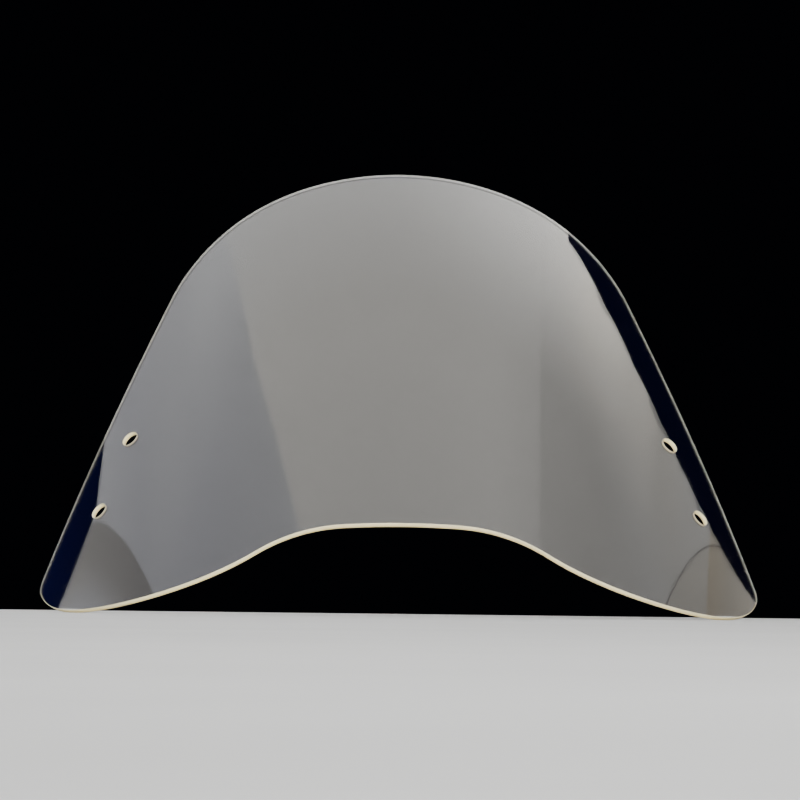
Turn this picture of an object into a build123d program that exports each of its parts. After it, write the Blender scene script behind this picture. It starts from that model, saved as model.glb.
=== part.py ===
from build123d import *
import math
import os

# ---------------------------------------------------------------- driving dimensions (mm, degrees)
THICKNESS = 3.2            # clear acrylic sheet
EDGE_BREAK = 0.4           # chamfer that takes the sharpness off every cut edge, the holes too

# outline of the screen, laid out on the plane that the middle of the sheet lies in
TOP_HEIGHT = 255.0         # middle of the top edge above the sheet's own reference line
TOP_RADIUS = 212.0         # shallow middle of the top edge
TOP_TURN = 17.0            # half the angle that the shallow stretch covers
SHOULDER_RADIUS = 149.0    # round shoulders
SIDE_TURN = 71.3           # heading of the straight sides, down from level
SIDE_LENGTH = 237.0
CORNER_RADIUS = 23.5       # outer part of each lower corner
CORNER_TURN = 32.0
LOBE_RADIUS = 92.5         # lower lobes, either side of the arch
FLANK_TURN = 33.5          # slope where a lobe runs into the arch
FLANK_LENGTH = 4.5
ARCH_RADIUS = 98.0         # hollow curve up to the flat top of the arch

# bend across the width: shallow in the middle, tighter towards the sides
MIDDLE_RADIUS = 440.0
MIDDLE_TURN = 13.0
SIDE_RADIUS = 245.0
BEND_REACH = 62.0          # angle at which the bent strip ends, outside the outline

# mounting holes, square to the sheet: distance from the middle, height on the outline plane
HOLE_DIAMETER = 11.0
HOLES = {"upper": (181.5, 13.5), "lower": (199.0, -45.5)}

# attitude on the vehicle: the middle of the sheet rises at this angle and faces -Y
RISE = 42.5


def arc_from(start, heading, radius, turn, clockwise=True):
    """Tangent arc on the outline: returns the edge, its end and the new heading."""
    side = -1.0 if clockwise else 1.0
    centre = start + Vector(-math.sin(math.radians(heading)), math.cos(math.radians(heading))) * (side * radius)

    def on_arc(share):
        return centre + (start - centre).rotate(Axis.Z, side * turn * share)

    return ThreePointArc(start, on_arc(0.5), on_arc(1.0)), on_arc(1.0), heading + side * turn


def line_from(start, heading, length):
    """Straight stretch of the outline: returns the edge and its end."""
    end = start + Vector(math.cos(math.radians(heading)), math.sin(math.radians(heading))) * length
    return Line(start, end), end


def half_outline():
    """Right half of the outline, from the middle of the top edge round to the middle of the arch."""
    edges = []
    point = Vector(0, TOP_HEIGHT)
    heading = 0.0
    edge, point, heading = arc_from(point, heading, TOP_RADIUS, TOP_TURN)
    edges.append(edge)
    edge, point, heading = arc_from(point, heading, SHOULDER_RADIUS, SIDE_TURN - TOP_TURN)
    edges.append(edge)
    edge, point = line_from(point, heading, SIDE_LENGTH)
    edges.append(edge)
    edge, point, heading = arc_from(point, heading, CORNER_RADIUS, CORNER_TURN)
    edges.append(edge)
    edge, point, heading = arc_from(point, heading, LOBE_RADIUS, 180 + FLANK_TURN - SIDE_TURN - CORNER_TURN)
    edges.append(edge)
    edge, point = line_from(point, heading, FLANK_LENGTH)
    edges.append(edge)
    edge, point, heading = arc_from(point, heading, ARCH_RADIUS, FLANK_TURN, clockwise=False)
    edges.append(edge)
    edges.append(Line(point, Vector(0, point.Y)))
    return edges


def section_point(angle):
    """Point of the outer bend, in the plane across the sheet, where its normal has turned by angle."""
    turn = min(abs(angle), MIDDLE_TURN)
    x = MIDDLE_RADIUS * math.sin(math.radians(turn))
    z = MIDDLE_RADIUS * (math.cos(math.radians(turn)) - 1)
    if abs(angle) > MIDDLE_TURN:
        x += SIDE_RADIUS * (math.sin(math.radians(abs(angle))) - math.sin(math.radians(MIDDLE_TURN)))
        z += SIDE_RADIUS * (math.cos(math.radians(abs(angle))) - math.cos(math.radians(MIDDLE_TURN)))
    return Vector(math.copysign(x, angle), 0, z)


def turn_at(x):
    """Angle that the sheet's normal has turned at a distance x from the middle."""
    knee = MIDDLE_RADIUS * math.sin(math.radians(MIDDLE_TURN))
    if abs(x) <= knee:
        return math.degrees(math.asin(x / MIDDLE_RADIUS))
    sine = math.sin(math.radians(MIDDLE_TURN)) + (abs(x) - knee) / SIDE_RADIUS
    return math.copysign(math.degrees(math.asin(sine)), x)


# outer skin of the bent strip
bend = Wire([
    ThreePointArc(section_point(-BEND_REACH), section_point(-0.5 * (BEND_REACH + MIDDLE_TURN)),
                  section_point(-MIDDLE_TURN)).edge(),
    ThreePointArc(section_point(-MIDDLE_TURN), section_point(0), section_point(MIDDLE_TURN)).edge(),
    ThreePointArc(section_point(MIDDLE_TURN), section_point(0.5 * (BEND_REACH + MIDDLE_TURN)),
                  section_point(BEND_REACH)).edge(),
])
strip = Shell.extrude(bend.moved(Location((0, -300, 0))), Vector(0, 700, 0))

# the outline as a punch through the whole bend; the sheet's cut walls then stand square to its skin
right_half = half_outline()
left_half = [edge.mirror(Plane.YZ) for edge in right_half]
punch = extrude(make_face(right_half + left_half), amount=300, both=True)
outer_skin = Shell(strip.intersect(punch))
sheet = Solid.thicken(outer_skin, THICKNESS)

# four through holes, each drilled along the sheet's own normal
wall_points = {}
for name, (across, height) in HOLES.items():
    for hand, side in (("left", -1), ("right", 1)):
        turn = turn_at(side * across)
        normal = Vector(math.sin(math.radians(turn)), 0, math.cos(math.radians(turn)))
        foot = section_point(turn) + Vector(0, height, 0)
        drill = Solid.make_cylinder(HOLE_DIAMETER / 2, 20, Plane(origin=foot - normal * 12, z_dir=normal))
        sheet = sheet - drill
        wall_points[f"{name}_{hand}_hole"] = (foot - normal * (THICKNESS / 2), normal)

# broken edges, wherever a skin meets a cut wall
skins = [face for face in sheet.faces() if face.geom_type == GeomType.CYLINDER and face.area > 5000]
skin_edges = [edge for face in skins for edge in face.edges()]
rims = [edge for edge in skin_edges if sum(edge.is_same(other) for other in skin_edges) == 1]
sheet = sheet.chamfer(EDGE_BREAK, None, rims)

# turn the screen to its attitude and stand its lowest points on z = 0, midway front to back
tilted = sheet.moved(Rotation(RISE, 0, 0))
box = tilted.bounding_box()
placing = Location((0, -box.center().Y, -box.min.Z)) * Rotation(RISE, 0, 0)
screen = sheet.moved(placing)

os.makedirs("parts", exist_ok=True)
export_step(screen, "parts/screen.step")

print("volume mm3", round(screen.volume, 1), "valid", screen.is_valid, "box", screen.bounding_box())
print("moved by", (0, round(-box.center().Y, 4), round(-box.min.Z, 4)))
for name, (point, normal) in wall_points.items():
    spot = Plane(placing).from_local_coords(point)
    tip = Plane(placing).from_local_coords(point + normal)
    print(name, [round(v / 1000, 6) for v in spot], [round(v, 6) for v in (tip - spot)])
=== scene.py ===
import bmesh
import bpy
import math
from mathutils import Matrix, Vector
from mathutils.geometry import delaunay_2d_cdt
from mathutils.kdtree import KDTree


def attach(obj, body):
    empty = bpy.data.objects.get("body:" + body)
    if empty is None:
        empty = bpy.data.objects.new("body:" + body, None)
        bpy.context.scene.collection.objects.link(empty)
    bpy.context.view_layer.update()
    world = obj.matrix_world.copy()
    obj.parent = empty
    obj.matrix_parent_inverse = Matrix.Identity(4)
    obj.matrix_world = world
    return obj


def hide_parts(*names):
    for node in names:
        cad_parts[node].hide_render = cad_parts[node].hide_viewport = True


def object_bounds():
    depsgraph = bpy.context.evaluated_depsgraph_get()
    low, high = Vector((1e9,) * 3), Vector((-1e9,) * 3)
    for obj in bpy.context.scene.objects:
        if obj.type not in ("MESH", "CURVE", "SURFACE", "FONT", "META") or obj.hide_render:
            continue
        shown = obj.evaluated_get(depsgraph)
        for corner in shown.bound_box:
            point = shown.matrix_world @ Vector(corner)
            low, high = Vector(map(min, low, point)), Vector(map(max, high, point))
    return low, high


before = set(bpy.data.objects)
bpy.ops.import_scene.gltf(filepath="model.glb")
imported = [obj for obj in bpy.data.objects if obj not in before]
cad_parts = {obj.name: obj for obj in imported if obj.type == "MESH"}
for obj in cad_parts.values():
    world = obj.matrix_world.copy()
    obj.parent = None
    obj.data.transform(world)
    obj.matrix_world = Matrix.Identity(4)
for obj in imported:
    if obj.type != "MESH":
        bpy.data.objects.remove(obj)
cad_low, cad_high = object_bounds()

MM = 0.001

# ---------------------------------------------------------------- the sheet, as in the CAD part
# The outline is drawn as seen square on, before it is laid on the bend. Its turns are in degrees.
THICKNESS = 3.2 * MM
TOP_HEIGHT = 255.0 * MM
TOP_RADIUS = 212.0 * MM
TOP_TURN = 17.0
SHOULDER_RADIUS = 149.0 * MM
SIDE_TURN = 71.3            # how far the outline has turned down where the straight side starts
SIDE_LENGTH = 237.0 * MM
CORNER_RADIUS = 23.5 * MM
CORNER_TURN = 32.0
LOBE_RADIUS = 92.5 * MM
FLANK_TURN = 33.5           # how steeply the arch's flanks rise
FLANK_LENGTH = 4.5 * MM
ARCH_RADIUS = 98.0 * MM
MIDDLE_RADIUS = 440.0 * MM  # bend of the middle
MIDDLE_TURN = math.radians(13.0)    # how far the middle's bend turns, to each side
SIDE_RADIUS = 245.0 * MM    # bend of the sides
HOLE_RADIUS = 5.5 * MM
HOLES = [(181.5 * MM, 13.5 * MM), (199.0 * MM, -45.5 * MM)]     # across and height, each side
RISE = math.radians(42.5)   # rake of the sheet, from level

# ---------------------------------------------------------------- how finely the sheet is meshed
EDGE_ROUND = 0.45 * MM      # radius that the cut edges are eased to
ROUND_STEPS = 4
WALL_STEPS = 3
OUTLINE_STEP = 1.6 * MM
HOLE_STEPS = 72
SKIN_ACROSS = 2.0 * MM      # fine across the bend, coarse along its straight lines
SKIN_ALONG = 8.0 * MM
RIM_CLEARANCE = 0.9 * SKIN_ACROSS   # how far the points of a skin stay off its rims
WELD = 1e-7                 # points closer than this count as one

SKIN_SLOT = 0               # material slots of the sheet
EDGE_SLOT = 1
HOLE_FACING = -1.0          # holes count as edges that face down, which get the painted cream glow

KNEE_X = MIDDLE_RADIUS * math.sin(MIDDLE_TURN)
KNEE_WIDTH = MIDDLE_RADIUS * MIDDLE_TURN
TILT = Matrix.Rotation(RISE, 3, "X")


# ---------------------------------------------------------------- outline
def heading_vector(heading):
    """Direction of a heading in degrees."""
    return Vector((math.cos(math.radians(heading)), math.sin(math.radians(heading))))


def arc_points(start, heading, radius, turn, clockwise=True):
    """Points along a tangent arc, without its start; returns them with the new heading."""
    side = -1.0 if clockwise else 1.0
    across = Vector((-math.sin(math.radians(heading)), math.cos(math.radians(heading))))
    centre = start + across * (side * radius)
    steps = max(2, round(radius * math.radians(turn) / OUTLINE_STEP))
    points = []
    for i in range(1, steps + 1):
        spin = Matrix.Rotation(side * math.radians(turn) * i / steps, 2)
        points.append(centre + spin @ (start - centre))
    return points, heading + side * turn


def line_points(start, end):
    """Evenly spaced points from start to end, without the start."""
    steps = max(1, round((end - start).length / OUTLINE_STEP))
    return [start.lerp(end, i / steps) for i in range(1, steps + 1)]


def half_outline():
    """Right half of the drawn outline, from the middle of the top to the middle of the arch."""
    points = [Vector((0, TOP_HEIGHT))]
    heading = 0.0
    for radius, turn in ((TOP_RADIUS, TOP_TURN), (SHOULDER_RADIUS, SIDE_TURN - TOP_TURN)):
        more, heading = arc_points(points[-1], heading, radius, turn)
        points += more
    points += line_points(points[-1], points[-1] + heading_vector(heading) * SIDE_LENGTH)
    lobe_turn = 180 + FLANK_TURN - SIDE_TURN - CORNER_TURN
    for radius, turn in ((CORNER_RADIUS, CORNER_TURN), (LOBE_RADIUS, lobe_turn)):
        more, heading = arc_points(points[-1], heading, radius, turn)
        points += more
    points += line_points(points[-1], points[-1] + heading_vector(heading) * FLANK_LENGTH)
    more, heading = arc_points(points[-1], heading, ARCH_RADIUS, FLANK_TURN, clockwise=False)
    points += more
    points += line_points(points[-1], Vector((0, points[-1].y)))
    return points


# ---------------------------------------------------------------- bend
def width_at(x):
    """Distance along the bend, from the middle, of the point that is x across."""
    if abs(x) <= KNEE_X:
        return MIDDLE_RADIUS * math.asin(x / MIDDLE_RADIUS)
    turn = math.asin(math.sin(MIDDLE_TURN) + (abs(x) - KNEE_X) / SIDE_RADIUS)
    return math.copysign(KNEE_WIDTH + SIDE_RADIUS * (turn - MIDDLE_TURN), x)


def turn_at(width):
    """Angle that the sheet's normal has turned at a distance along the bend, in radians."""
    if abs(width) <= KNEE_WIDTH:
        return width / MIDDLE_RADIUS
    return math.copysign(MIDDLE_TURN + (abs(width) - KNEE_WIDTH) / SIDE_RADIUS, width)


def on_sheet(place, depth):
    """Point of the bent, tilted sheet at (width, height), so deep below its outer skin."""
    turn = turn_at(place.x)
    inner = min(abs(turn), MIDDLE_TURN)
    outer = abs(turn)
    x = MIDDLE_RADIUS * math.sin(inner) + SIDE_RADIUS * (math.sin(outer) - math.sin(inner))
    z = MIDDLE_RADIUS * (math.cos(inner) - 1) + SIDE_RADIUS * (math.cos(outer) - math.cos(inner))
    point = Vector((math.copysign(x, turn), place.y, z))
    normal = Vector((math.sin(turn), 0, math.cos(turn)))
    return TILT @ (point - depth * normal)


def direction(place, along, up, out):
    """Direction made of parts along the bend, up the sheet and out of its skin."""
    turn = turn_at(place.x)
    across = Vector((math.cos(turn), 0, -math.sin(turn)))
    normal = Vector((math.sin(turn), 0, math.cos(turn)))
    return (TILT @ (across * along + Vector((0, up, 0)) + normal * out)).normalized()


# ---------------------------------------------------------------- flat pattern
def flat_outline():
    """Closed outline on the flat pattern, clockwise seen from outside, one point per step."""
    right = half_outline()
    left = [Vector((-p.x, p.y)) for p in reversed(right[1:-1])]
    return [Vector((width_at(p.x), p.y)) for p in right + left]


def flat_hole(x, height):
    """One hole on the flat pattern, counter-clockwise, so that the sheet lies on its right too."""
    centre = Vector((width_at(x), height))
    turns = [2 * math.pi * i / HOLE_STEPS for i in range(HOLE_STEPS)]
    return [centre + HOLE_RADIUS * Vector((math.cos(t), math.sin(t))) for t in turns]


def outward(loop):
    """Directions out of the sheet, on the flat pattern, at each point of a loop."""
    out = []
    for i in range(len(loop)):
        run = (loop[(i + 1) % len(loop)] - loop[i - 1]).normalized()
        out.append(Vector((-run.y, run.x)))
    return out


def middle_of(loop):
    """Mean of the points of a loop."""
    return sum(loop, Vector((0, 0))) / len(loop)


# ---------------------------------------------------------------- cut walls
def wall_profile():
    """(inset, depth, lean) from the outer skin, round both eased edges, to the inner skin."""
    outer = []
    for i in range(ROUND_STEPS + 1):
        angle = 0.5 * math.pi * i / ROUND_STEPS
        inset = EDGE_ROUND * (1 - math.sin(angle))
        depth = EDGE_ROUND * (1 - math.cos(angle))
        outer.append((inset, depth, 0.5 * math.pi - angle))
    straight = THICKNESS - 2 * EDGE_ROUND
    middle = [(0.0, EDGE_ROUND + straight * i / WALL_STEPS, 0.0) for i in range(1, WALL_STEPS)]
    inner = [(inset, THICKNESS - depth, -lean) for inset, depth, lean in reversed(outer)]
    return outer + middle + inner


def wall_way(profile, ring):
    """Distance travelled over the cut wall, from the outer skin to a ring of the profile."""
    way = 0.0
    for (inset_a, depth_a, _), (inset_b, depth_b, _) in zip(profile[:ring], profile[1:ring + 1]):
        way += math.hypot(inset_b - inset_a, depth_b - depth_a)
    return way


# ---------------------------------------------------------------- skins
def skin_points(outline, rims):
    """Grid points of a skin, inside the outline and clear of every rim."""
    near = KDTree(sum(len(rim) for rim in rims))
    index = 0
    for rim in rims:
        for p in rim:
            near.insert((p.x, p.y, 0), index)
            index += 1
    near.balance()
    hole_centres = [middle_of(rim) for rim in rims[1:]]
    low = min(p.y for p in outline)
    high = max(p.y for p in outline)
    points = []
    for row in range(1, int((high - low) / SKIN_ALONG) + 1):
        y = low + row * SKIN_ALONG
        crossings = []
        for a, b in zip(outline, outline[1:] + outline[:1]):
            if (a.y > y) != (b.y > y):
                crossings.append(a.x + (b.x - a.x) * (y - a.y) / (b.y - a.y))
        crossings.sort()
        for start, end in zip(crossings[::2], crossings[1::2]):
            first = math.ceil(start / SKIN_ACROSS)
            last = math.floor(end / SKIN_ACROSS)
            for column in range(first, last + 1):
                p = Vector((column * SKIN_ACROSS, y))
                clear = near.find((p.x, p.y, 0))[2] > RIM_CLEARANCE
                if clear and all((p - c).length > HOLE_RADIUS for c in hole_centres):
                    points.append(p)
    return points


def skin_triangles(rims, points):
    """Triangles between the rims and the grid points, as indices into rims + points."""
    flat = [p for rim in rims for p in rim] + points
    edges = []
    start = 0
    for rim in rims:
        edges += [(start + i, start + (i + 1) % len(rim)) for i in range(len(rim))]
        start += len(rim)
    inside_edges = 1
    places, _, faces, sources, _, _ = delaunay_2d_cdt(flat, edges, [], inside_edges, WELD)
    hole_centres = [middle_of(rim) for rim in rims[1:]]
    triangles = []
    for face in faces:
        middle = middle_of([places[i] for i in face])
        if all((middle - c).length > HOLE_RADIUS + EDGE_ROUND for c in hole_centres):
            triangles.append([sources[i][0] for i in face])
    return triangles


# ---------------------------------------------------------------- the sheet's mesh
class SheetForm:
    """Points and faces of the sheet, with their normals, edge facings, slots and flat places."""

    def __init__(self):
        self.vertices = []
        self.normals = []
        self.facings = []
        self.faces = []
        self.slots = []
        self.uvs = []

    def add_point(self, place, depth, normal, facing):
        """Point of the sheet, given on the flat pattern."""
        self.vertices.append(on_sheet(place, depth))
        self.normals.append(normal)
        self.facings.append(facing)

    def add_wall(self, loop, profile, is_outline):
        """Cut wall round one loop; returns the first vertex of each ring of its profile."""
        out = outward(loop)
        ring_starts = []
        for inset, depth, lean in profile:
            ring_starts.append(len(self.vertices))
            side = math.cos(lean)
            for p, o in zip(loop, out):
                place = p - o * inset
                normal = direction(place, o.x * side, o.y * side, math.sin(lean))
                self.add_point(place, depth, normal, o.y if is_outline else HOLE_FACING)
        ways = [wall_way(profile, ring) for ring in range(len(profile))]
        here = 0.0
        for i in range(len(loop)):
            j = (i + 1) % len(loop)
            there = here + (loop[j] - loop[i]).length
            for a, b, near, far in zip(ring_starts, ring_starts[1:], ways, ways[1:]):
                self.faces.append((a + i, a + j, b + j, b + i))
                self.slots.append(EDGE_SLOT)
                self.uvs += [(here, near), (there, near), (there, far), (here, far)]
            here = there
        return ring_starts

    def add_skin(self, rim_vertices, grid, flat, triangles, depth, side):
        """Clear skin between the rims; side is 1 for the outer skin and -1 for the inner one."""
        first = len(self.vertices)
        for p in grid:
            self.add_point(p, depth, direction(p, 0, 0, side), 0.0)
        index = rim_vertices + [first + i for i in range(len(grid))]
        for triangle in triangles:
            order = triangle if side > 0 else triangle[::-1]
            self.faces.append([index[i] for i in order])
            self.slots.append(SKIN_SLOT)
            self.uvs += [(flat[i].x, flat[i].y) for i in order]


def sheet_form():
    """The whole screen as one closed form: two clear skins joined by eased, cut walls."""
    loops = [flat_outline()]
    for x, height in HOLES:
        loops += [flat_hole(x, height), flat_hole(-x, height)]
    profile = wall_profile()
    form = SheetForm()
    rings = [form.add_wall(loop, profile, loop is loops[0]) for loop in loops]
    rims = [[p - o * EDGE_ROUND for p, o in zip(loop, outward(loop))] for loop in loops]
    grid = skin_points(loops[0], rims)
    triangles = skin_triangles(rims, grid)
    flat = [p for rim in rims for p in rim] + grid
    for ring, depth, side in ((0, 0.0, 1.0), (-1, THICKNESS, -1.0)):
        rim_vertices = []
        for starts, loop in zip(rings, loops):
            rim_vertices += [starts[ring] + i for i in range(len(loop))]
        form.add_skin(rim_vertices, grid, flat, triangles, depth, side)
    return form


def sheet_object():
    """The screen as one object, and the shift that puts it in the middle of the CAD box."""
    form = sheet_form()
    low_z = min(v.z for v in form.vertices)
    low_y = min(v.y for v in form.vertices)
    high_y = max(v.y for v in form.vertices)
    shift = Vector((0, 0.5 * (cad_low.y + cad_high.y - low_y - high_y), cad_low.z - low_z))
    mesh = bpy.data.meshes.new("screen_sheet")
    mesh.from_pydata([v + shift for v in form.vertices], [], form.faces)
    mesh.polygons.foreach_set("material_index", form.slots)
    mesh.polygons.foreach_set("use_smooth", [True] * len(form.faces))
    layer = mesh.uv_layers.new(name="flat")
    layer.data.foreach_set("uv", [value for uv in form.uvs for value in uv])
    facing = mesh.attributes.new("facing", "FLOAT", "POINT")
    facing.data.foreach_set("value", form.facings)
    mesh.normals_split_custom_set_from_vertices(form.normals)
    made = bpy.data.objects.new("screen_sheet", mesh)
    bpy.context.scene.collection.objects.link(made)
    return made, shift


# ---------------------------------------------------------------- nodes
class Nodes:
    """Short way to add and link the nodes of one material or world."""

    def __init__(self, owner):
        owner.use_nodes = True
        self.tree = owner.node_tree
        self.tree.nodes.clear()

    def add(self, kind, settings=None, **inputs):
        """New node, with its settings and with its inputs set or linked."""
        made = self.tree.nodes.new("ShaderNode" + kind)
        for name, value in (settings or {}).items():
            setattr(made, name, value)
        for name, value in inputs.items():
            self.set(made, name.replace("_", " "), value)
        return made

    def set(self, made, name, value):
        """Set an input, named or numbered, to a value or link it to another node's output."""
        socket = made.inputs[int(name)] if name.isdigit() else made.inputs[name]
        if isinstance(value, bpy.types.NodeSocket):
            self.tree.links.new(value, socket)
        else:
            socket.default_value = value

    def math(self, operation, a, b=0.0, clamp=False):
        """Result of a calculation with one or two values."""
        made = self.add("Math", {"operation": operation, "use_clamp": clamp})
        self.set(made, "0", a)
        self.set(made, "1", b)
        return made.outputs[0]

    def surface(self, shader, output="OutputMaterial"):
        """Make a shader the surface of the material or world."""
        self.set(self.add(output), "Surface", shader.outputs[0])


def scaled_noise(nodes, source, scale, detail=3.0, roughness=0.5):
    """Noise over a place, with its own scale in each direction."""
    mapping = nodes.add("Mapping", Vector=source, Scale=scale)
    noise = nodes.add(
        "TexNoise", Vector=mapping.outputs[0], Scale=1.0, Detail=detail, Roughness=roughness)
    return noise.outputs["Fac"]


def ramp_over(nodes, value, stops):
    """Colour ramp over a value; stops are (value, colour)."""
    low, high = stops[0][0], stops[-1][0]
    span = nodes.add("MapRange", Value=value)
    span.inputs["From Min"].default_value = low
    span.inputs["From Max"].default_value = high
    ramp = nodes.add("ValToRGB", Fac=span.outputs[0])
    elements = ramp.color_ramp.elements
    while len(elements) < len(stops):
        elements.new(0.5)
    for element, (stop, colour) in zip(elements, stops):
        element.position = (stop - low) / (high - low)
        element.color = (*colour, 1)
    return ramp.outputs[0]


def glow(level, warmth):
    """Colour of a light level; warmth above 0 leans to cream, below 0 to blue."""
    return level * (1 + 0.6 * max(0.0, warmth)), level, level * (1 - warmth)


def glow_ramp(nodes, value, stops, full=1.0):
    """Ramp of light levels; stops are (value, level, warmth) and full is the level of white."""
    return ramp_over(
        nodes, value, [(stop, glow(level / full, warmth)) for stop, level, warmth in stops])


def blend(nodes, kind, factor, a, b):
    """Mix of two colours."""
    mix = nodes.add("Mix", {"data_type": "RGBA", "blend_type": kind})
    nodes.set(mix, "0", factor)
    nodes.set(mix, "6", a)
    nodes.set(mix, "7", b)
    return mix.outputs[2]


def fade(nodes, value, start, end):
    """Smooth rise from 0 at start to 1 at end."""
    span = nodes.add("MapRange", {"interpolation_type": "SMOOTHSTEP"}, Value=value)
    span.inputs["From Min"].default_value = start
    span.inputs["From Max"].default_value = end
    return span.outputs[0]


# ---------------------------------------------------------------- materials
ACRYLIC_IOR = 1.49
SCUFF_LEVEL = 0.68          # noise above this is a hairline scuff
POLISH = 0.008              # roughness of the untouched skin
EDGE_CLEARNESS = 0.3        # how much light the cut edge lets through


def clear_acrylic():
    """Polished clear acrylic: faint draw ripple, hairline scuffs and a little settled dust haze."""
    material = bpy.data.materials.new("clear_acrylic")
    nodes = Nodes(material)
    place = nodes.add("UVMap", {"uv_map": "flat"}).outputs[0]
    ripple = scaled_noise(nodes, place, (6.0, 14.0, 1.0), 1.0)
    scuffs = scaled_noise(nodes, place, (40.0, 1500.0, 1.0), 2.0)
    scuffs = nodes.math("MULTIPLY", nodes.math("SUBTRACT", scuffs, SCUFF_LEVEL, True), 0.6)
    haze = nodes.math("MULTIPLY", scaled_noise(nodes, place, (9.0, 16.0, 1.0), 4.0), 0.02)
    roughness = nodes.math("ADD", nodes.math("ADD", haze, scuffs), POLISH)
    bump = nodes.add("Bump", Height=ripple, Strength=0.1, Distance=0.6 * MM)
    shader = nodes.add(
        "BsdfPrincipled", Roughness=roughness, IOR=ACRYLIC_IOR, Normal=bump.outputs[0],
        Base_Color=(0.985, 0.99, 0.99, 1), Transmission_Weight=1.0)
    nodes.surface(shader)
    return material


def cut_edge():
    """Cut acrylic edge: painted cream glow at arch and holes, painted grey shade at sides, lighter
    at the top.
    """
    material = bpy.data.materials.new("cut_edge")
    nodes = Nodes(material)
    place = nodes.add("UVMap", {"uv_map": "flat"}).outputs[0]
    across = nodes.add("SeparateXYZ", Vector=place).outputs[1]
    facing = nodes.add("Attribute", {"attribute_name": "facing"}).outputs["Fac"]
    marks = scaled_noise(nodes, place, (2600.0, 90.0, 1.0), 3.0, 0.6)
    blotches = scaled_noise(nodes, place, (130.0, 500.0, 1.0), 3.0)
    # painted cream edge glow standing in for light carried along the sheet: brightest just inside
    # the outer skin, shaded darker towards the inner skin
    painted_edge_glow = ramp_over(nodes, across, [
        (0.0 * MM, (0.70, 0.63, 0.42)), (0.9 * MM, (0.98, 0.87, 0.50)),
        (2.3 * MM, (0.90, 0.74, 0.36)), (3.7 * MM, (0.40, 0.29, 0.13))])
    # painted shade by the way an edge faces: grey at the sides, lighter at the top as if lit from
    # above
    painted_edge_shade = ramp_over(nodes, facing, [
        (-1.0, (0.42, 0.39, 0.30)), (0.35, (0.36, 0.34, 0.26)), (1.0, (0.60, 0.59, 0.56))])
    # edges that face down, the arch and the holes, get the painted glow; the rest get the painted
    # shade
    colour = blend(nodes, "MIX", fade(nodes, facing, -0.6, -0.1), painted_edge_glow, painted_edge_shade)
    tone = nodes.math("MULTIPLY", marks, 0.16)
    tone = nodes.math("ADD", tone, nodes.math("MULTIPLY", blotches, 0.2))
    tone = nodes.math("ADD", tone, 0.82)
    greys = nodes.add("CombineXYZ", X=tone, Y=tone, Z=tone)
    colour = blend(nodes, "MULTIPLY", 1.0, colour, greys.outputs[0])
    roughness = nodes.math("ADD", nodes.math("MULTIPLY", marks, 0.3), 0.28)
    bump = nodes.add("Bump", Height=marks, Strength=0.5, Distance=0.12 * MM)
    shader = nodes.add(
        "BsdfPrincipled", Roughness=roughness, IOR=ACRYLIC_IOR, Normal=bump.outputs[0],
        Base_Color=colour, Transmission_Weight=EDGE_CLEARNESS)
    nodes.surface(shader)
    return material


def floor_paint():
    """Pale matt floor with a faint mottle."""
    material = bpy.data.materials.new("pale_floor")
    nodes = Nodes(material)
    place = nodes.add("TexCoord").outputs["Object"]
    mottle = scaled_noise(nodes, place, (7.0, 7.0, 7.0), 5.0)
    ramp = nodes.add("ValToRGB", Fac=mottle)
    ramp.color_ramp.elements[0].color = (0.60, 0.60, 0.59, 1)
    ramp.color_ramp.elements[1].color = (0.70, 0.70, 0.69, 1)
    shader = nodes.add("BsdfPrincipled", Roughness=0.75, Base_Color=ramp.outputs[0])
    nodes.surface(shader)
    return material


# ---------------------------------------------------------------- overhead panel and card
PANEL_HEIGHT = 0.9          # above the floor
PANEL_FRONT = -1.5
PANEL_LIT = 0.1             # the panel rises from dark at its front to full strength here
PANEL_LEFT = -2.2
PANEL_RIGHT = 2.4
CARD_REAR = 5.0
GLOW_SCALE = 8.0            # strength of a ramp colour of 1
REAR_START = 0.14           # the front light gives way to the rear light between these depths
REAR_END = 0.44
REAR_FROM = 0.35            # further out, that change lies further back right and forward left
REAR_SLANT = 0.2
CORNER_DEPTH = 0.15         # the shaded corners reach full shade this far back
LEFT_SLANT = 0.712          # how the shaded left corner of the panel runs back
RIGHT_SLANT = -0.651        # the same for the right corner
STRIP_SLANT_LEFT = 0.47     # how the left rim of the panel's middle strip runs back
STRIP_SLANT_RIGHT = 0.19
CLOTH_MOTTLE = 0.10
RIM_STEPS = 13
RIM_STEP = 0.16


def rear_rim():
    """Rear rim of the overhead panel, right to left, curving away on both sides of its middle.

    The screen's dark side strips mirror the card that lies behind this rim.
    """
    right = []
    left = []
    for i in range(RIM_STEPS):
        run = 0.03 + RIM_STEP * i
        right.append((0.38 + run, 0.322 + 0.125 * run + 0.525 * run * run))
        left.append((-1.205 - 0.5 * run, 0.763 + 0.425 * run + 0.105 * run * run))
    middle = [(0.2, 0.62), (-0.6, 0.80), (-1.12, 0.765)]
    return right[::-1] + middle + left


def level_polygon(name, corners, height, material):
    """Flat level polygon at a height."""
    mesh = bpy.data.meshes.new(name)
    mesh.from_pydata([(x, y, height) for x, y in corners], [], [list(range(len(corners)))])
    mesh.materials.append(material)
    made = bpy.data.objects.new(name, mesh)
    bpy.context.scene.collection.objects.link(made)
    return made


def slanted(nodes, x, y, slant):
    """Distance across the panel, measured along lines that run back at a slant."""
    return nodes.math("ADD", x, nodes.math("MULTIPLY", y, slant))


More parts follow.
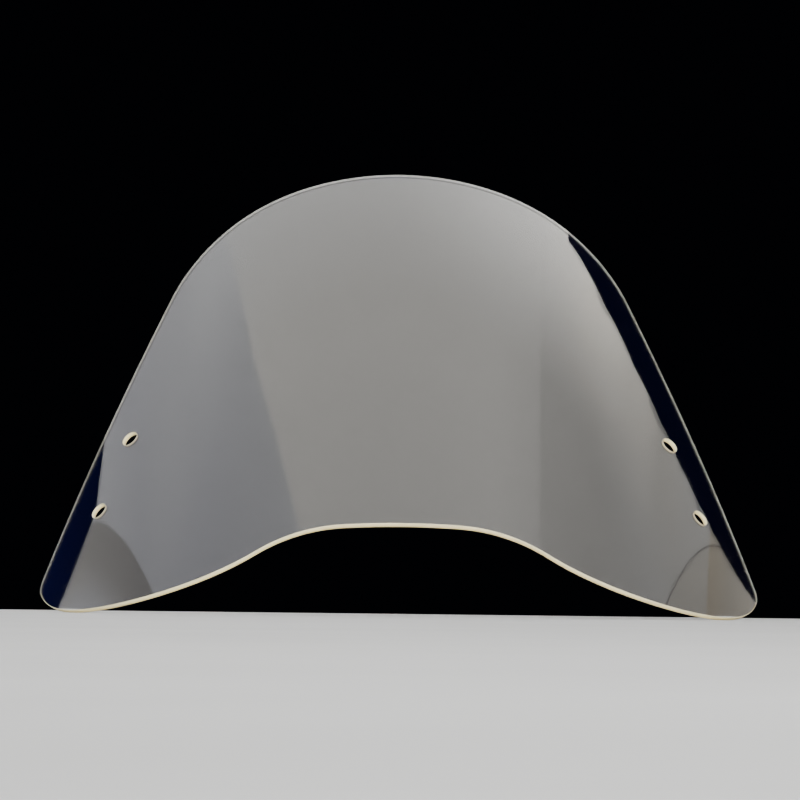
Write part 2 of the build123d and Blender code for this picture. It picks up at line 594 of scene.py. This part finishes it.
def front_light(nodes, x, y):
    """Even light of the panel's front, with a warm strip in the middle."""
    is_left = nodes.math("LESS_THAN", x, 0.0)
    slant = nodes.math("MULTIPLY", is_left, STRIP_SLANT_LEFT - STRIP_SLANT_RIGHT)
    slant = nodes.math("ADD", slant, STRIP_SLANT_RIGHT)
    return glow_ramp(nodes, slanted(nodes, x, y, slant), [
        (-1.6, 1.27, -0.07), (-0.9, 1.24, -0.08), (-0.5, 1.62, -0.06), (-0.263, 1.85, -0.03),
        (-0.257, 2.45, 0.05), (0.25, 2.50, 0.05), (0.367, 2.15, 0.05),
        (0.373, 1.80, 0.05), (0.6, 1.47, 0.05), (1.0, 1.29, 0.03), (1.6, 0.9, 0.03)], GLOW_SCALE)


def rear_light(nodes, x):
    """Brighter light of the panel's rear, strongest to the right of its middle."""
    return glow_ramp(nodes, x, [
        (-1.6, 1.2, -0.02), (-0.9, 1.4, -0.06), (-0.6, 1.9, -0.03), (-0.3, 3.2, 0.0),
        (0.0, 4.4, 0.0), (0.2, 6.9, 0.02), (0.35, 7.4, 0.05), (0.5, 6.2, 0.10),
        (0.7, 2.8, 0.10), (0.9, 1.4, 0.08), (1.1, 1.2, 0.05), (1.6, 0.9, 0.03)], GLOW_SCALE)


def corner_shades(nodes, x, y):
    """Shades of the panel's left corner, its right corner and a warm wedge at the far right."""
    left = glow_ramp(nodes, slanted(nodes, x, y, LEFT_SLANT), [
        (-1.2, 0.93, 0.0), (-0.81, 0.93, 0.0), (-0.77, 0.74, 0.05), (-0.74, 0.62, 0.07),
        (-0.684, 0.58, 0.07), (-0.679, 1.0, 0.0)])
    right = glow_ramp(nodes, slanted(nodes, x, y, RIGHT_SLANT), [
        (0.762, 1.0, 0.0), (0.763, 0.25, 0.0), (0.765, 0.25, 0.0), (0.766, 0.93, 0.04),
        (0.95, 0.90, 0.05)])
    wedge = glow_ramp(nodes, x, [(1.333, 1.0, 0.0), (1.341, 0.84, 0.12), (1.6, 0.92, 0.06)])
    return left, right, wedge


def panel_glow():
    """Light of the overhead panel: brighter to the rear, shaded in its outer corners."""
    material = bpy.data.materials.new("panel_glow")
    nodes = Nodes(material)
    place = nodes.add("TexCoord").outputs["Object"]
    split = nodes.add("SeparateXYZ", Vector=place)
    x, y = split.outputs[0], split.outputs[1]
    beyond = nodes.math("MAXIMUM", nodes.math("SUBTRACT", x, REAR_FROM), 0.0)
    before = nodes.math("MINIMUM", nodes.math("ADD", x, REAR_FROM), 0.0)
    lag = nodes.math("MULTIPLY", nodes.math("ADD", beyond, before), REAR_SLANT)
    rearward = fade(nodes, nodes.math("SUBTRACT", y, lag), REAR_START, REAR_END)
    colour = blend(nodes, "MIX", rearward, front_light(nodes, x, y), rear_light(nodes, x))
    corners = fade(nodes, y, 0.0, CORNER_DEPTH)
    for shade in corner_shades(nodes, x, y):
        colour = blend(nodes, "MULTIPLY", corners, colour, shade)
    cloth = scaled_noise(nodes, place, (1.5, 12.0, 1.0), 4.0)
    cloth = nodes.math("MULTIPLY", cloth, CLOTH_MOTTLE)
    cloth = nodes.math("ADD", cloth, 1 - 0.5 * CLOTH_MOTTLE)
    strength = nodes.math("MULTIPLY", fade(nodes, y, PANEL_FRONT, PANEL_LIT), GLOW_SCALE)
    strength = nodes.math("MULTIPLY", strength, cloth)
    nodes.surface(nodes.add("Emission", Color=colour, Strength=strength))
    return material


def navy_glow():
    """Dim navy light of the card behind the panel, a little brighter to the left."""
    material = bpy.data.materials.new("navy_glow")
    nodes = Nodes(material)
    place = nodes.add("TexCoord").outputs["Object"]
    x = nodes.add("SeparateXYZ", Vector=place).outputs[0]
    colour = ramp_over(nodes, x, [
        (PANEL_LEFT, (0.008, 0.010, 0.085)), (0.0, (0.005, 0.007, 0.060)),
        (0.6, (0.003, 0.005, 0.045)), (1.6, (0.003, 0.003, 0.020)),
        (PANEL_RIGHT, (0.003, 0.003, 0.020))])
    nodes.surface(nodes.add("Emission", Color=colour, Strength=1.0))
    return material


def overhead_panels():
    """Soft panel above the screen, mirrored as its grey sheen, and a navy card behind the panel."""
    rim = rear_rim()
    front = [(PANEL_LEFT, PANEL_FRONT), (PANEL_RIGHT, PANEL_FRONT)]
    behind = [(PANEL_LEFT, CARD_REAR), (PANEL_RIGHT, CARD_REAR)]
    panel = level_polygon("overhead_panel", front + rim, PANEL_HEIGHT, panel_glow())
    card = level_polygon("navy_card", behind + rim, PANEL_HEIGHT, navy_glow())
    for made in (panel, card):
        made.visible_camera = False
        made.visible_diffuse = False
        made.visible_shadow = False


# ---------------------------------------------------------------- floor, lights and surround
FLOOR_SIZE = 9.0
FLOOR_STEPS = 60
FLOOR_FLAT = 0.2            # the floor is level up to here, and behind it rolls gently away
FLOOR_FLAT_SIDE = 1.0       # the same to each side
FLOOR_FALL = 0.02
SURROUND = (0.3, 0.33, 0.55, 1)
SURROUND_STRENGTH = 0.003
SOFT_LIGHTS = [             # name, place, aim, size, power and spread in degrees
    ("top_light", (-0.6, 0.2, 2.6), (0, 0, 0), 2.4, 60, 180),
    ("key", (-1.5, -1.6, 1.7), (0, 0, 0.1), 0.9, 25, 180),
    ("front_fill", (0.4, -3.2, 0.25), (0, 0, 0.12), 0.7, 30, 60),
]


def soft_light(name, place, aim, size, power, spread):
    """Square area light at place, facing aim; it lights surfaces but isn't mirrored in them."""
    data = bpy.data.lights.new(name, "AREA")
    data.size = size
    data.energy = power
    data.spread = math.radians(spread)
    made = bpy.data.objects.new(name, data)
    made.location = place
    made.rotation_euler = (Vector(aim) - Vector(place)).to_track_quat("-Z", "Y").to_euler()
    bpy.context.scene.collection.objects.link(made)
    made.visible_camera = False
    made.visible_glossy = False


def floor():
    """Pale floor, level under the screen and rolling away far behind it and to its sides."""
    form = bmesh.new()
    bmesh.ops.create_grid(
        form, x_segments=FLOOR_STEPS, y_segments=FLOOR_STEPS, size=FLOOR_SIZE / 2)
    for vertex in form.verts:
        vertex.co.z = -FLOOR_FALL * max(0.0, vertex.co.y - FLOOR_FLAT) ** 2
        vertex.co.z -= FLOOR_FALL * max(0.0, abs(vertex.co.x) - FLOOR_FLAT_SIDE) ** 2
    mesh = bpy.data.meshes.new("floor")
    form.to_mesh(mesh)
    form.free()
    mesh.polygons.foreach_set("use_smooth", [True] * len(mesh.polygons))
    mesh.materials.append(floor_paint())
    made = bpy.data.objects.new("floor", mesh)
    bpy.context.scene.collection.objects.link(made)


def dark_surround():
    """Nearly black world around the floor."""
    world = bpy.data.worlds.new("dark_surround")
    bpy.context.scene.world = world
    nodes = Nodes(world)
    background = nodes.add("Background", Color=SURROUND, Strength=SURROUND_STRENGTH)
    nodes.surface(background, "OutputWorld")


def stage():
    """Floor, lights and dark surround."""
    floor()
    overhead_panels()
    for light in SOFT_LIGHTS:
        soft_light(*light)
    dark_surround()


# ---------------------------------------------------------------- camera
CAMERA_DISTANCE = 2.31
CAMERA_AZIMUTH = math.radians(-0.773)
CAMERA_ELEVATION = math.radians(-3.246)
CAMERA_ROLL = math.radians(0.671)
CAMERA_LENS = 157.5
CAMERA_ASIDE = Vector((-1.0 * MM, 0, 0))    # how far the aim lies off the middle of the sheet
CAMERA_NEAR = 0.05
CAMERA_FAR = 50


def camera(aim):
    """Camera at the photograph's viewing angle, a long way off and about level with the floor."""
    level = math.cos(CAMERA_ELEVATION)
    back = Vector((
        math.sin(CAMERA_AZIMUTH) * level, -math.cos(CAMERA_AZIMUTH) * level,
        math.sin(CAMERA_ELEVATION)))
    data = bpy.data.cameras.new("camera")
    data.lens = CAMERA_LENS
    data.clip_start = CAMERA_NEAR
    data.clip_end = CAMERA_FAR
    made = bpy.data.objects.new("camera", data)
    made.rotation_mode = "QUATERNION"
    look = (-back).to_track_quat("-Z", "Y")
    made.rotation_quaternion = look @ Matrix.Rotation(CAMERA_ROLL, 3, "Z").to_quaternion()
    made.location = aim + back * CAMERA_DISTANCE
    bpy.context.scene.collection.objects.link(made)
    bpy.context.scene.camera = made


# ---------------------------------------------------------------- putting it together
sheet, sheet_shift = sheet_object()
sheet.data.materials.append(clear_acrylic())
sheet.data.materials.append(cut_edge())
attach(sheet, "root")
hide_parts("screen")

stage()
camera(sheet_shift + CAMERA_ASIDE)
